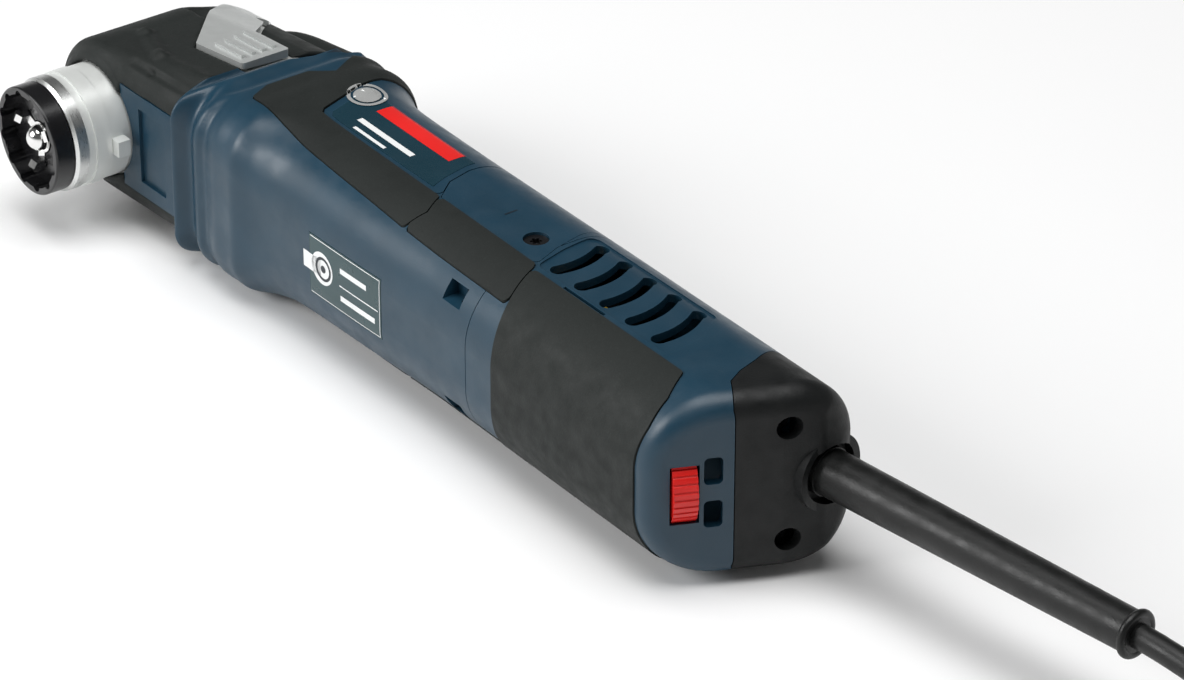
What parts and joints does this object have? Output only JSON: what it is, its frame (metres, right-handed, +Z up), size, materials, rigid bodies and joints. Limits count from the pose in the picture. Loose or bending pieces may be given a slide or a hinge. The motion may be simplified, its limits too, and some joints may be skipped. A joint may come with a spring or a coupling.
{
  "type": "oscillating multi tool",
  "caption": "Corded oscillating multi tool with star-seat tool holder, release lever, slide switch, speed dial, soft grips, motor, eccentric drive and coiled mains cord.",
  "frame": {"origin": "centre of the bottom of the tool's box as it lies on its side, without its free cord, coil and plug", "axes": "+X from the head towards the cord, +Y from the accessory side towards the lever side, +Z up, out of the tool's upper flank"},
  "size_m": [0.614, 0.1249, 0.0626],
  "materials": {
    "black_plastic": "satin moulded",
    "board_green": "solder mask",
    "brass_part": "drawn",
    "bright_steel": "polished",
    "capacitor_yellow": "moulded",
    "carbon": "pressed carbon",
    "cast_metal": "satin bead-blasted",
    "collar_metal": "fine turned",
    "copper": "lacquered wire",
    "cord_rubber": "smooth rubber sheath",
    "dial_red": "satin moulded",
    "fan_plastic": "moulded",
    "holder_steel": "black oxide, semi-gloss",
    "housing_blue": "fine satin moulded",
    "label_print": "printed film",
    "lamination": "stacked sheets",
    "lever_metal": "satin painted die casting",
    "plate_print": "printed film",
    "soft_grip": "fine-grained soft grip",
    "steel": "ground"
  },
  "bodies": {
    "housing": {"gear_housing": "cast_metal", "collar_ring": "collar_metal", "head_cover": "housing_blue", "head_boot": "soft_grip", "lever_pin": "steel", "spindle_bearing_lower": "steel", "spindle_bearing_upper": "steel", "spindle_seal": "soft_grip", "front_bearing": "steel", "rear_bearing": "steel", "bearing_sleeve": "soft_grip", "fan_shroud": "black_plastic", "stator_core": "lamination", "field_coils": "copper", "brush_holders": "brass_part", "brushes": "carbon", "brush_springs": "steel", "main_housing": "housing_blue", "rear_housing": "housing_blue", "upper_sleeve": "housing_blue", "front_grip": "soft_grip", "name_panel": "housing_blue", "name_plate": "plate_print", "rear_grip": "soft_grip", "side_strip": "soft_grip", "cord_cap": "black_plastic", "cable_boot": "cord_rubber", "micro_switch": "black_plastic", "capacitor": "capacitor_yellow", "speed_board": "board_green", "dial_bracket": "black_plastic", "cable_clamp": "black_plastic", "inner_cord": "cord_rubber", "side_screws": "holder_steel", "tail_screws": "holder_steel", "gearbox_screws": "steel", "type_label": "label_print", "power_cord": "cord_rubber", "cord_coil": "cord_rubber", "cord_tail": "cord_rubber", "mains_plug": "cord_rubber"},
    "lever": {"release_lever": "lever_metal"},
    "spindle": {"output_spindle": "steel", "tool_holder": "holder_steel", "rocker_fork": "steel", "clamp_spring": "steel"},
    "clamp": {"clamp_rod": "bright_steel", "clamp_hooks": "bright_steel"},
    "rotor": {"motor_shaft": "steel", "fan": "fan_plastic", "armature_core": "lamination", "armature_windings": "copper", "commutator": "copper", "eccentric_bearing": "steel"},
    "switch": {"slide_switch": "soft_grip", "switch_rod": "black_plastic"},
    "dial": {"speed_dial": "dial_red"}
  },
  "joints": [
    {"name": "lever_open", "type": "hinge", "parent": "housing", "child": "lever", "pos_m": [-0.19694, 0.03113, 0.03128], "axis": [0, 0, 1], "range_deg": [0, 90]},
    {"name": "spindle_rock", "type": "hinge", "parent": "housing", "child": "spindle", "pos_m": [-0.19094, -0.02287, 0.03128], "axis": [0, 1, 0], "range_deg": [-1.5, 1.5]},
    {"name": "clamp_release", "type": "slide", "parent": "spindle", "child": "clamp", "axis": [0, -1, 0], "range_m": [0, 0.002]},
    {"name": "motor_spin", "type": "hinge", "parent": "housing", "child": "rotor", "pos_m": [-0.09094, 0.00813, 0.03128], "axis": [1, 0, 0], "continuous": true},
    {"name": "switch_slide", "type": "slide", "parent": "housing", "child": "switch", "axis": [-1, 0, 0], "range_m": [0, 0.005]},
    {"name": "dial_turn", "type": "hinge", "parent": "housing", "child": "dial", "pos_m": [0.07961, -0.00674, 0.03128], "axis": [0.4158, 0.9095, 0], "range_deg": [0, 270]}
  ],
  "couplings": [
    {"joint": "clamp_release", "follows": "lever_open", "m_per_rad": 0.0012732}
  ]
}
